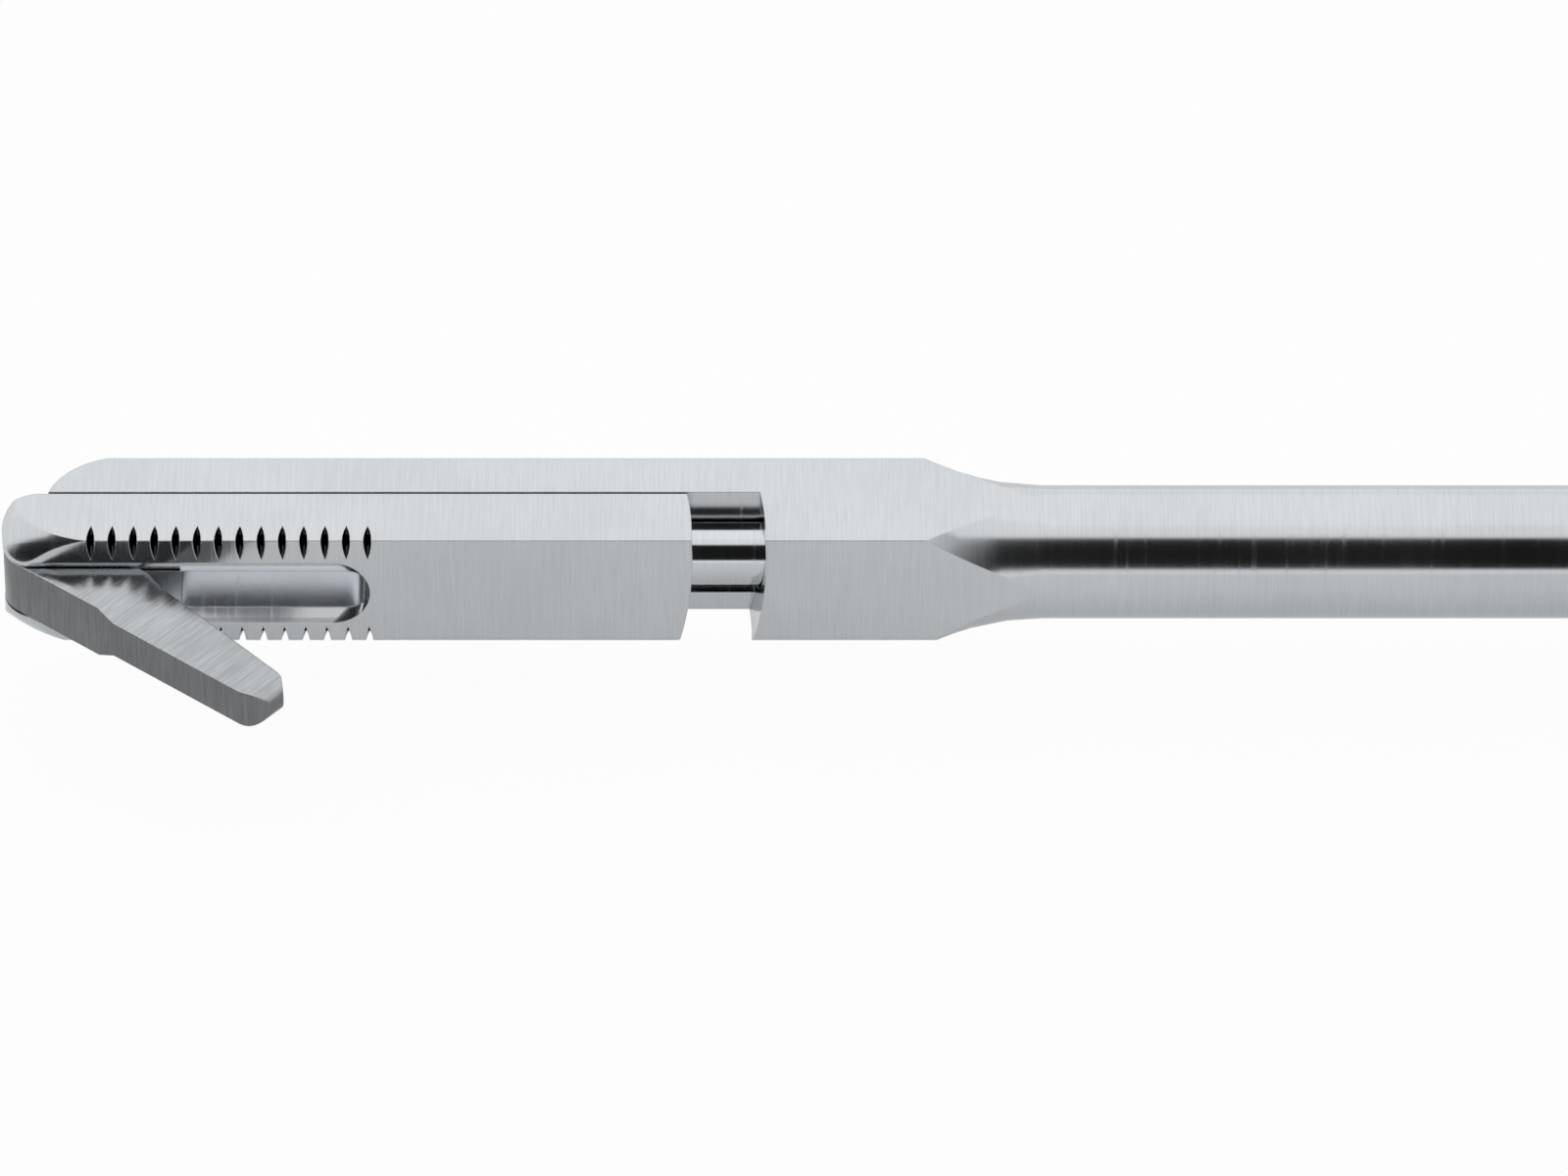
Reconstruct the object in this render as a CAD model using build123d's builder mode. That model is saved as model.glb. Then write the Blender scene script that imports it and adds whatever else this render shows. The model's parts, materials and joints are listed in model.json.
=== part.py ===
from build123d import *
import math
import os

os.makedirs("parts", exist_ok=True)

# Antrum punch, backward cutting. The shaft runs along X with the jaw at -X and the grips at -Y.
# The origin is on the shaft axis, in the middle of its round stretch.

# Shaft and square head
SHAFT_DIAMETER = 4.0
SHAFT_LENGTH = 90.0
SHAFT_SOCKET = 10.0
HEAD_SIDE = 4.0
HEAD_LENGTH = 8.3
RUNOUT_LENGTH = 3.6
HEAD_CHAMFER = 0.25
TURNING_MARGIN = 0.02
BORE_DIAMETER = 2.2

# Arm that carries the sliding jaw
ARM_LENGTH = 21.5
ARM_DEPTH = 1.65
ARM_NOSE_LENGTH = 2.95
ARM_NOSE_BULGE_X = 0.8
ARM_NOSE_BULGE_Y = 1.19
LIP_DEPTH = 0.6
LIP_HEIGHT = 0.65
LIP_SETBACK = 3.7

# Sliding jaw
NOSE_OVERHANG = 1.35
JAW_CLEARANCE = 0.08
JAW_STROKE = 2.1
CLOSED_GAP = 0.1
END_DOME_RADIUS = 12.0
END_DOME_REACH = 7.0
END_DOME_FRONT = 1.6
END_DOME_SIDE = 1.2
NOSE_TURNED_LENGTH = 2.9
NOSE_TIP_RADIUS = 1.75
NOSE_SLOPE = (-1, -0.06)
WINDOW_END = 11.0
WINDOW_RIM_WIDTH = 2.3
WINDOW_RIM_DEPTH = 0.2

# Serrations along both front edges of the jaw
TOOTH_COUNT = 14
TOOTH_PITCH = 0.635
TOOTH_START = 2.7
TOOTH_REACH = 0.72
TOOTH_WIDTH = 0.24
TOOTH_BULGE_WIDTH = 0.0864
TOOTH_BULGE_REACH = 0.396

# Cutting blade
BLADE_OPEN_ANGLE = 40.0
BLADE_LENGTH = 9.7
BLADE_ROOT_WIDTH = 1.8
BLADE_ROOT_LENGTH = 3.3
BLADE_NECK_LENGTH = 0.6
BLADE_BAR_WIDTH = 1.24
BLADE_TIP_DEPTH = 1.43
BLADE_NOSE_LENGTH = 0.8
BLADE_NOSE_HEIGHT = 0.9
BLADE_NOSE_BULGE_LENGTH = 0.2
BLADE_NOSE_BULGE_HEIGHT = 0.3
BLADE_TIP_BREAK_LENGTH = 0.35
BLADE_TIP_BREAK_HEIGHT = 0.3
TAIL_RADIUS = 2.1
TAIL_END_RADIUS = 0.42
TAIL_WIDTH = 1.3
PIVOT_PIN_DIAMETER = 0.8
CAM_PIN_DIAMETER = 0.6
CAM_PIN_LENGTH = 2.7
RUNNING_CLEARANCE = 0.03
SIDE_CLEARANCE = 0.05
CAM_CLEARANCE = 0.05
KNUCKLE_CLEARANCE = 0.02
PIN_RECESS = 0.02
PIN_BLIND_WALL = 0.3
END_CLEARANCE = 0.3
LIP_END_CLEARANCE = 0.2
NOSE_SLOT_CLEARANCE = 0.05
WINDOW_CLEARANCE = 0.06

# Pull rod and its bushes
ROD_DIAMETER = 2.0
ROD_SOCKET = 4.4
BUSH_DIAMETER = 2.7
BUSH_LENGTH = 3.5
BALL_DIAMETER = 4.0
BALL_CLEARANCE = 0.06
BALL_SHOULDER = 0.2
ROD_NUT_GAP = 0.02
ROD_NUT_WIDTH = 3.4
ROD_NUT_LENGTH = 1.0

# Handle
LEVER_ARM = 7.0
PIVOT_SETBACK = 15.0
CHEEK_THICKNESS = 1.6
GRIP_THICKNESS = 5.0
LEG_THICKNESS = 4.6
FORK_CLEARANCE = 0.35
WASHER_THICKNESS = 0.3
WASHER_DIAMETER = 6.4
HEAD_NOSE_RADIUS = 4.5
CHEEK_RADIUS = 7.0
EDGE_ROUND = 0.8
FINGER_RING_BORE = 21.0
FINGER_RING_X = -14.0
FINGER_RING_Y = -51.0
THUMB_RING_BORE = 23.0
THUMB_RING_X = 31.0
THUMB_RING_RISE = 5.0
RING_WALL = 3.6
GRIP_ROUND = 1.62
LEVER_EYE_DIAMETER = 9.2
HEAD_REACH = 2.5
STOP_BOSS_RADIUS = 3.5
STOP_BOSS_SETBACK = 8.5
STOP_BOSS_DROP = 3.0
FINGER_LEG_SETBACK = 8.0
FINGER_LEG_DROP = 1.5
FINGER_LEG_BEND_SETBACK = 11.5
FINGER_LEG_BEND_DROP = 21.0
THUMB_LEG_REACH = 0.5
THUMB_LEG_DROP = 2.0
THUMB_LEG_BEND_REACH = 8.5
THUMB_LEG_BEND_DROP = 20.0
LEVER_WALL = 1.3
LEVER_TOP_DROP = 0.6
BALL_SLOT_DEPTH = 0.3
ROD_NUT_ROOM = 0.6
ROD_NUT_SIDE_ROOM = 0.4
FORK_FLAT_BELOW_PIVOT = 2.0
FORK_LEAN = 0.8
FORK_DEEP_LEAN = 2.0
LEG_TOP_WIDTH = 8.0
LEG_MID_WIDTH = 6.0
LEG_END_WIDTH = 5.0

# Screws, nuts and spring of the handle
PIVOT_SHANK_DIAMETER = 3.0
PIVOT_BUSH_DIAMETER = 4.4
PIVOT_HEAD_DIAMETER = 6.4
PIVOT_HEAD_HEIGHT = 0.9
PIVOT_THREAD_DIAMETER = 2.5
SLOT_WIDTH = 0.8
SLOT_DEPTH = 0.6
SLOT_TURN = 30
COLLAR_DIAMETER = 8.0
COLLAR_LENGTH = 6.0
COLLAR_FLUTES = 18
COLLAR_FLUTE_RADIUS = 0.45
COLLAR_FLUTE_OFFSET = 0.15
COLLAR_FULL_LENGTH = 3.6
COLLAR_RIM = 0.6
LOCK_SCREW_DIAMETER = 2.5
LOCK_SCREW_RECESS = 0.3
LOCK_SCREW_SOCKET_RADIUS = 0.65
LOCK_SCREW_SOCKET_DEPTH = 1.2
STOP_SCREW_DIAMETER = 2.5
STOP_NUT_WIDTH = 5.0
STOP_NUT_LENGTH = 1.6
STOP_Y = -12.0
STOP_SLOT_WIDTH = 0.6
STOP_TIP_SETBACK = 0.1
STOP_FACE_SETBACK = 7.5
STOP_SPOT_FACE_RADIUS = 3.25
SPRING_THICKNESS = 0.7
SPRING_WIDTH = 3.6
SPRING_SEAT = 0.1
SPRING_SPOT_DEPTH = 2.6
SPRING_DROP = 4.5
SPRING_LEAN = 2.6
SPRING_RISE = 10.0
SPRING_BOW_WIDTH = 6.8
SPRING_BOW_HEIGHT = 4.2
SPRING_TIP_REACH = 3.6
SPRING_TIP_DROP = 7.0
SPRING_SCREW_DIAMETER = 2.0
SPRING_SCREW_HEAD = 3.4
SPRING_SCREW_HEAD_HEIGHT = 0.9
SPRING_SCREW_LENGTH = 4.0
SPRING_SCREW_PLACE = 2.6
SPRING_SCREW_SLOT_WIDTH = 0.5
SPRING_SCREW_SLOT_DEPTH = 0.4
STOP_SCREW_LENGTH = 12.0

# Places that follow from the sizes above
shaft_radius = SHAFT_DIAMETER / 2
rod_radius = ROD_DIAMETER / 2
half = HEAD_SIDE / 2
corner_radius = half * math.sqrt(2) + TURNING_MARGIN
round_start = -SHAFT_LENGTH / 2
handle_face = SHAFT_LENGTH / 2
shaft_end = handle_face + SHAFT_SOCKET
block_face = round_start - HEAD_LENGTH
arm_end = block_face - ARM_LENGTH
arm_front = half - ARM_DEPTH
lip_front = arm_front - LIP_DEPTH
lip_top = -half + LIP_HEIGHT
jaw_back = block_face - JAW_STROKE - CLOSED_GAP
nose = arm_end - NOSE_OVERHANG
jaw_length = jaw_back - nose
nose_slot_width = BLADE_ROOT_WIDTH + 2 * NOSE_SLOT_CLEARANCE
window_width = BLADE_BAR_WIDTH + 2 * WINDOW_CLEARANCE
jaw_rear_face = arm_front - JAW_CLEARANCE
jaw_depth = jaw_rear_face + half
pivot_y = -half + jaw_depth / 2
pivot_x = nose + jaw_depth / 2
knuckle_radius = jaw_depth / 2 - KNUCKLE_CLEARANCE
nose_slot_length = jaw_depth / 2 + BLADE_ROOT_LENGTH + BLADE_NECK_LENGTH + END_CLEARANCE
clear = 2 * HEAD_SIDE
lever_half_angle = math.degrees(JAW_STROKE / LEVER_ARM) / 2
lever_x = handle_face + PIVOT_SETBACK
ball_x = lever_x - JAW_STROKE / 2
grip_half = GRIP_THICKNESS / 2
fork_half = grip_half + FORK_CLEARANCE
cheek_half = fork_half + CHEEK_THICKNESS


def cam_point(opened):
    """Where the cam pin stands when the blade is opened by this many degrees."""
    slid = JAW_STROKE * (1 - opened / BLADE_OPEN_ANGLE)
    turn = math.radians(90 - opened)
    across = pivot_x + slid + TAIL_RADIUS * math.cos(turn)
    return (across, pivot_y + TAIL_RADIUS * math.sin(turn))


def domed_form(apex):
    """A long bar with a shallow dome at its +X end, which shapes the jaw's end and its seat."""
    centre = (0, -END_DOME_FRONT, END_DOME_SIDE)
    sag = END_DOME_RADIUS - math.sqrt(END_DOME_RADIUS**2 - END_DOME_REACH**2)
    rim = (apex - sag, END_DOME_REACH)
    with BuildPart() as form:
        with BuildSketch(Plane(centre, x_dir=(1, 0, 0), z_dir=(0, -1, 0))):
            with BuildLine():
                Polyline((apex, 0), (nose - clear, 0), (nose - clear, END_DOME_REACH), rim)
                RadiusArc(rim, (apex, 0), END_DOME_RADIUS)
            make_face()
        revolve(axis=Axis(centre, (1, 0, 0)))
    return form.part


# Outer shaft: round shaft, square head and arm in one piece
with BuildPart() as jaw_room:
    with BuildSketch(Plane.YZ.offset(nose - clear)):
        with BuildLine():
            Polyline(
                (-clear, -clear),
                (lip_front, -clear),
                (lip_front, lip_top),
                (arm_front, lip_top),
                (arm_front, clear),
                (-clear, clear),
                close=True,
            )
        make_face()
    extrude(amount=block_face - nose + clear)
    add(domed_form(block_face), mode=Mode.INTERSECT)

runout_start = (round_start - RUNOUT_LENGTH, corner_radius)
tail_room_front = pivot_y + TAIL_RADIUS + TAIL_END_RADIUS + CAM_CLEARANCE
tail_room_end = pivot_x + JAW_STROKE + TAIL_END_RADIUS + END_CLEARANCE

with BuildPart() as outer_shaft:
    with BuildSketch(Plane.YZ.offset(arm_end)):
        with BuildLine():
            Polyline(
                (-half, -half + HEAD_CHAMFER),
                (-half, half),
                (half, half),
                (half, -half),
                (-half + HEAD_CHAMFER, -half),
                close=True,
            )
        make_face()
    extrude(amount=round_start - arm_end)
    with BuildSketch(Plane.XZ):
        with BuildLine():
            Polyline(
                (round_start, shaft_radius),
                (round_start, 0),
                (arm_end, 0),
                (arm_end, corner_radius),
                runout_start,
            )
            TangentArc((round_start, shaft_radius), runout_start, tangent=(-1, 0))
        make_face()
    revolve(axis=Axis.X, mode=Mode.INTERSECT)
    with BuildSketch(Plane.YZ.offset(round_start)):
        Circle(shaft_radius)
    extrude(amount=shaft_end - round_start)
    add(jaw_room.part, mode=Mode.SUBTRACT)
    with BuildSketch(Plane.XY):
        with BuildLine():
            ThreePointArc(
                (arm_end, arm_front),
                (arm_end + ARM_NOSE_BULGE_X, arm_front + ARM_NOSE_BULGE_Y),
                (arm_end + ARM_NOSE_LENGTH, half),
            )
            Polyline(
                (arm_end + ARM_NOSE_LENGTH, half),
                (arm_end + ARM_NOSE_LENGTH, clear),
                (arm_end - clear, clear),
                (arm_end - clear, -clear),
                (arm_end + LIP_SETBACK, -clear),
                (arm_end + LIP_SETBACK, arm_front),
                (arm_end, arm_front),
            )
        make_face()
    extrude(amount=clear, both=True, mode=Mode.SUBTRACT)
    with BuildSketch(Plane.YZ.offset(jaw_back - ROD_SOCKET - END_CLEARANCE)):
        Circle(BORE_DIAMETER / 2)
    extrude(amount=shaft_end - jaw_back + ROD_SOCKET + clear, mode=Mode.SUBTRACT)
    with BuildSketch(Plane.YZ.offset(block_face)):
        Circle(BUSH_DIAMETER / 2)
    extrude(amount=BUSH_LENGTH, mode=Mode.SUBTRACT)
    with BuildSketch(Plane.YZ.offset(shaft_end - BUSH_LENGTH)):
        Circle(BUSH_DIAMETER / 2)
    extrude(amount=BUSH_LENGTH, mode=Mode.SUBTRACT)
    with BuildSketch(Plane.XY):
        with BuildLine():
            Polyline(
                (arm_end - TAIL_WIDTH, lip_front),
                (arm_end - TAIL_WIDTH, tail_room_front),
                (tail_room_end, tail_room_front),
                (tail_room_end, lip_front),
                close=True,
            )
        make_face()
    extrude(amount=TAIL_WIDTH / 2 + SIDE_CLEARANCE, both=True, mode=Mode.SUBTRACT)
    with BuildSketch(Plane.XY):
        with BuildLine(mode=Mode.PRIVATE) as cam_path:
            ThreePointArc(
                cam_point(1.5 * BLADE_OPEN_ANGLE), cam_point(0.7 * BLADE_OPEN_ANGLE), cam_point(0)
            )
        SlotArc(cam_path.edges()[0], CAM_PIN_DIAMETER + 2 * CAM_CLEARANCE)
    extrude(amount=CAM_PIN_LENGTH / 2 + SIDE_CLEARANCE, both=True, mode=Mode.SUBTRACT)
outer_shaft.part.label = "outer_shaft"


def bush(start):
    """A pressed bush that guides the pull rod."""
    with BuildPart() as ring:
        with BuildSketch(Plane.YZ.offset(start)):
            Circle(BUSH_DIAMETER / 2)
            Circle(rod_radius + RUNNING_CLEARANCE, mode=Mode.SUBTRACT)
        extrude(amount=BUSH_LENGTH)
    return ring.part


front_bush = bush(block_face)
front_bush.label = "front_bush"
rear_bush = bush(shaft_end - BUSH_LENGTH)
rear_bush.label = "rear_bush"

# One serration cutter: a thin lens-shaped disc
with BuildPart() as tooth_cutter:
    with BuildSketch(Plane.XZ):
        with BuildLine():
            for side in (-1, 1):
                bulge = (side * TOOTH_BULGE_WIDTH, TOOTH_BULGE_REACH)
                ThreePointArc((side * TOOTH_WIDTH / 2, 0), bulge, (0, TOOTH_REACH))
            Line((-TOOTH_WIDTH / 2, 0), (TOOTH_WIDTH / 2, 0))
        make_face()
    revolve(axis=Axis.X)

nose_shoulder = (nose + NOSE_TURNED_LENGTH, corner_radius)

with BuildPart() as jaw_slider:
    with BuildSketch(Plane.YZ.offset(nose)):
        with BuildLine():
            Polyline(
                (-half, -half + HEAD_CHAMFER),
                (-half, half),
                (jaw_rear_face, half),
                (jaw_rear_face, -half),
                (-half + HEAD_CHAMFER, -half),
                close=True,
            )
        make_face()
    extrude(amount=jaw_length)
    add(domed_form(jaw_back), mode=Mode.INTERSECT)
    with BuildSketch(Plane.XY):
        with BuildLine():
            ThreePointArc((pivot_x, -half), (nose, pivot_y), (pivot_x, jaw_rear_face))
            Polyline((pivot_x, jaw_rear_face), (jaw_back, jaw_rear_face), (jaw_back, -half), (pivot_x, -half))
        make_face()
    extrude(amount=clear, both=True, mode=Mode.INTERSECT)
    with BuildSketch(Plane.XZ):
        with BuildLine():
            Polyline(
                (nose, NOSE_TIP_RADIUS),
                (nose, 0),
                (jaw_back, 0),
                (jaw_back, corner_radius),
                nose_shoulder,
            )
            TangentArc(nose_shoulder, (nose, NOSE_TIP_RADIUS), tangent=NOSE_SLOPE)
        make_face()
    revolve(axis=Axis.X, mode=Mode.INTERSECT)
    with BuildSketch(Plane.XZ.offset(-clear)):
        with Locations((nose + (nose_slot_length - clear) / 2, 0)):
            Rectangle(nose_slot_length + clear, nose_slot_width)
        with Locations((nose + WINDOW_END / 2 - clear / 2, 0)):
            SlotOverall(WINDOW_END + clear, window_width)
    extrude(amount=2 * clear, mode=Mode.SUBTRACT)
    with BuildSketch(Plane.XZ.offset(half)) as rim:
        with Locations((nose + WINDOW_END / 2 - clear / 2, 0)):
            SlotOverall(WINDOW_END + clear, WINDOW_RIM_WIDTH)
    with BuildSketch(Plane.XZ.offset(half - WINDOW_RIM_DEPTH)) as rim_floor:
        with Locations((nose + WINDOW_END / 2 - clear / 2, 0)):
            SlotOverall(WINDOW_END + clear, window_width)
    loft(sections=[rim.sketch, rim_floor.sketch], ruled=True, mode=Mode.SUBTRACT)
    with BuildSketch(Plane.YZ.offset(arm_end + LIP_SETBACK - JAW_STROKE - LIP_END_CLEARANCE)):
        with Locations((lip_front - JAW_CLEARANCE, lip_top + JAW_CLEARANCE)):
            Rectangle(clear, clear, align=(Align.MIN, Align.MAX))
    extrude(amount=2 * jaw_length, mode=Mode.SUBTRACT)
    with BuildSketch(Plane.YZ.offset(jaw_back - ROD_SOCKET)):
        Circle(rod_radius)
    extrude(amount=2 * ROD_SOCKET, mode=Mode.SUBTRACT)
    with BuildSketch(Plane.XY.offset(-clear)):
        with Locations((pivot_x, pivot_y)):
            Circle(PIVOT_PIN_DIAMETER / 2)
    extrude(amount=clear + half - PIN_BLIND_WALL, mode=Mode.SUBTRACT)
    with Locations(
        *[
            (nose + TOOTH_START + i * TOOTH_PITCH, -half, side * half)
            for i in range(TOOTH_COUNT)
            for side in (-1, 1)
        ]
    ):
        add(tooth_cutter.part, mode=Mode.SUBTRACT)
jaw_slider.part.label = "jaw_slider"

blade_plane = Plane(
    origin=(pivot_x, pivot_y, 0),
    x_dir=(math.cos(math.radians(BLADE_OPEN_ANGLE)), -math.sin(math.radians(BLADE_OPEN_ANGLE)), 0),
    z_dir=(0, 0, 1),
)
blade_side_plane = Plane(origin=blade_plane.origin, x_dir=blade_plane.x_dir, z_dir=-blade_plane.y_dir)

with BuildPart() as cutting_blade:
    back = -knuckle_radius
    tip_inner = back + BLADE_TIP_DEPTH
    nose_start = (BLADE_LENGTH - BLADE_NOSE_LENGTH, back)
    nose_bulge = (BLADE_LENGTH - BLADE_NOSE_BULGE_LENGTH, back + BLADE_NOSE_BULGE_HEIGHT)
    nose_end = (BLADE_LENGTH, back + BLADE_NOSE_HEIGHT)
    with BuildSketch(blade_plane):
        with BuildLine():
            ThreePointArc((0, knuckle_radius), (-knuckle_radius, 0), (0, back))
            Line((0, back), nose_start)
            ThreePointArc(nose_start, nose_bulge, nose_end)
            Polyline(
                nose_end,
                (BLADE_LENGTH, tip_inner - BLADE_TIP_BREAK_HEIGHT),
                (BLADE_LENGTH - BLADE_TIP_BREAK_LENGTH, tip_inner),
                (BLADE_ROOT_LENGTH + BLADE_NECK_LENGTH, knuckle_radius),
                (0, knuckle_radius),
            )
        make_face()
    extrude(amount=BLADE_ROOT_WIDTH / 2, both=True)
    with BuildSketch(blade_side_plane):
        with BuildLine():
            Polyline(
                (BLADE_LENGTH - BLADE_BAR_WIDTH / 2, BLADE_BAR_WIDTH / 2),
                (BLADE_ROOT_LENGTH + BLADE_NECK_LENGTH, BLADE_BAR_WIDTH / 2),
                (BLADE_ROOT_LENGTH, BLADE_ROOT_WIDTH / 2),
                (-2 * knuckle_radius, BLADE_ROOT_WIDTH / 2),
                (-2 * knuckle_radius, -BLADE_ROOT_WIDTH / 2),
                (BLADE_ROOT_LENGTH, -BLADE_ROOT_WIDTH / 2),
                (BLADE_ROOT_LENGTH + BLADE_NECK_LENGTH, -BLADE_BAR_WIDTH / 2),
                (BLADE_LENGTH - BLADE_BAR_WIDTH / 2, -BLADE_BAR_WIDTH / 2),
            )
            ThreePointArc(
                (BLADE_LENGTH - BLADE_BAR_WIDTH / 2, -BLADE_BAR_WIDTH / 2),
                (BLADE_LENGTH, 0),
                (BLADE_LENGTH - BLADE_BAR_WIDTH / 2, BLADE_BAR_WIDTH / 2),
            )
        make_face()
    extrude(amount=clear, both=True, mode=Mode.INTERSECT)
    with BuildSketch(blade_plane):
        with Locations((0, TAIL_RADIUS / 2)):
            SlotCenterToCenter(TAIL_RADIUS, 2 * TAIL_END_RADIUS, rotation=90)
    extrude(amount=TAIL_WIDTH / 2, both=True)
    with BuildSketch(blade_plane):
        Circle(PIVOT_PIN_DIAMETER / 2 + RUNNING_CLEARANCE)
        with Locations((0, TAIL_RADIUS)):
            Circle(CAM_PIN_DIAMETER / 2)
    extrude(amount=clear, both=True, mode=Mode.SUBTRACT)
cutting_blade.part.label = "cutting_blade"

with BuildPart() as blade_pivot_pin:
    with BuildSketch(Plane.XY.offset(-half + PIN_RECESS)):
        with Locations((pivot_x, pivot_y)):
            Circle(PIVOT_PIN_DIAMETER / 2)
    extrude(amount=HEAD_SIDE - PIN_BLIND_WALL - 2 * PIN_RECESS)
blade_pivot_pin.part.label = "blade_pivot_pin"

with BuildPart() as cam_pin:
    with BuildSketch(blade_plane):
        with Locations((0, TAIL_RADIUS)):
            Circle(CAM_PIN_DIAMETER / 2)
    extrude(amount=CAM_PIN_LENGTH / 2, both=True)
cam_pin.part.label = "cam_pin"

# Pull rod, with the ball that the lever drives and the nut that locks the ball
ball_radius = BALL_DIAMETER / 2
ball_flat = ball_x - math.sqrt(ball_radius**2 - (rod_radius + BALL_SHOULDER) ** 2)

with BuildPart() as pull_rod:
    with BuildSketch(Plane.YZ.offset(jaw_back - ROD_SOCKET)):
        Circle(rod_radius)
    extrude(amount=ball_x - jaw_back + ROD_SOCKET)
pull_rod.part.label = "pull_rod"

with BuildPart() as rod_ball:
    with Locations((ball_x, 0, 0)):
        Sphere(ball_radius)
    with BuildSketch(Plane.YZ.offset(ball_x - 2 * ball_radius)):
        Circle(rod_radius)
    extrude(amount=2 * ball_radius, mode=Mode.SUBTRACT)
    split(bisect_by=Plane.YZ.offset(ball_flat), keep=Keep.TOP)
rod_ball.part.label = "rod_ball"

rod_nut_end = ball_flat - ROD_NUT_GAP
with BuildPart() as rod_lock_nut:
    with BuildSketch(Plane.YZ.offset(rod_nut_end - ROD_NUT_LENGTH)):
        RegularPolygon(ROD_NUT_WIDTH / 2, 6, major_radius=False)
        Circle(rod_radius, mode=Mode.SUBTRACT)
    extrude(amount=ROD_NUT_LENGTH)
rod_lock_nut.part.label = "rod_lock_nut"

# Handle body: head with a fork for the lever, front leg and finger ring
pivot = (lever_x, -LEVER_ARM)
fork_front = shaft_end
finger_ring = (lever_x + FINGER_RING_X, FINGER_RING_Y - LEVER_ARM)
thumb_ring = (lever_x + THUMB_RING_X, FINGER_RING_Y + THUMB_RING_RISE - LEVER_ARM)


def grip_ring(centre, bore):
    """A finger ring with a rounded section, lying in the plane of the handle."""
    mid = bore / 2 + RING_WALL / 2
    with BuildPart() as ring:
        with BuildSketch(Plane((centre[0], centre[1], 0), x_dir=(1, 0, 0), z_dir=(0, -1, 0))):
            with Locations((mid, 0)):
                RectangleRounded(RING_WALL, GRIP_THICKNESS, GRIP_ROUND)
        revolve(axis=Axis((centre[0], centre[1], 0), (0, 0, 1)))
    return ring.part


def grip_leg(top, bend, end):
    """A leg that tapers from its head to its ring, through one bend."""
    widths = (LEG_TOP_WIDTH, LEG_MID_WIDTH, LEG_END_WIDTH)
    with BuildPart() as leg:
        with BuildLine() as path:
            ThreePointArc(top, bend, end)
        curve = path.edges()[0]
        for share, width in zip((0, 0.5, 1), widths):
            station = Plane(curve @ share, x_dir=(0, 0, 1), z_dir=curve % share)
            with BuildSketch(station):
                RectangleRounded(LEG_THICKNESS, width, GRIP_ROUND)
        loft()
    return leg.part


def ring_edge(centre, bore, toward):
    """The point on a ring's wall that faces another point."""
    across, up = toward[0] - centre[0], toward[1] - centre[1]
    share = (bore + RING_WALL) / 2 / math.hypot(across, up)
    return (centre[0] + across * share, centre[1] + up * share)


leg_top = (lever_x - FINGER_LEG_SETBACK, pivot[1] - FINGER_LEG_DROP)
leg_bend = (lever_x - FINGER_LEG_BEND_SETBACK, pivot[1] - FINGER_LEG_BEND_DROP)
leg_end = ring_edge(finger_ring, FINGER_RING_BORE, leg_bend)

stop_tip = fork_front - STOP_TIP_SETBACK
stop_face = fork_front - STOP_FACE_SETBACK
leg_edge = leg_bend[0] + LEG_MID_WIDTH / 2
spring_foot = (leg_edge + SPRING_SEAT, leg_bend[1] - SPRING_DROP)
spring_bend = (leg_edge + SPRING_LEAN, spring_foot[1] + SPRING_RISE)
spring_apex = (spring_bend[0] + SPRING_BOW_WIDTH / 2, spring_bend[1] + SPRING_BOW_HEIGHT)
spring_return = (spring_bend[0] + SPRING_BOW_WIDTH, spring_bend[1])
spring_tip = (spring_return[0] + SPRING_TIP_REACH, spring_return[1] - SPRING_TIP_DROP)
spring_direction = Vector(*spring_bend) - Vector(*spring_foot)
spring_screw_plane = Plane(
    origin=Vector(*spring_foot) + spring_direction.normalized() * SPRING_SCREW_PLACE,
    x_dir=spring_direction,
    z_dir=(spring_direction.Y, -spring_direction.X, 0),
)

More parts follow.
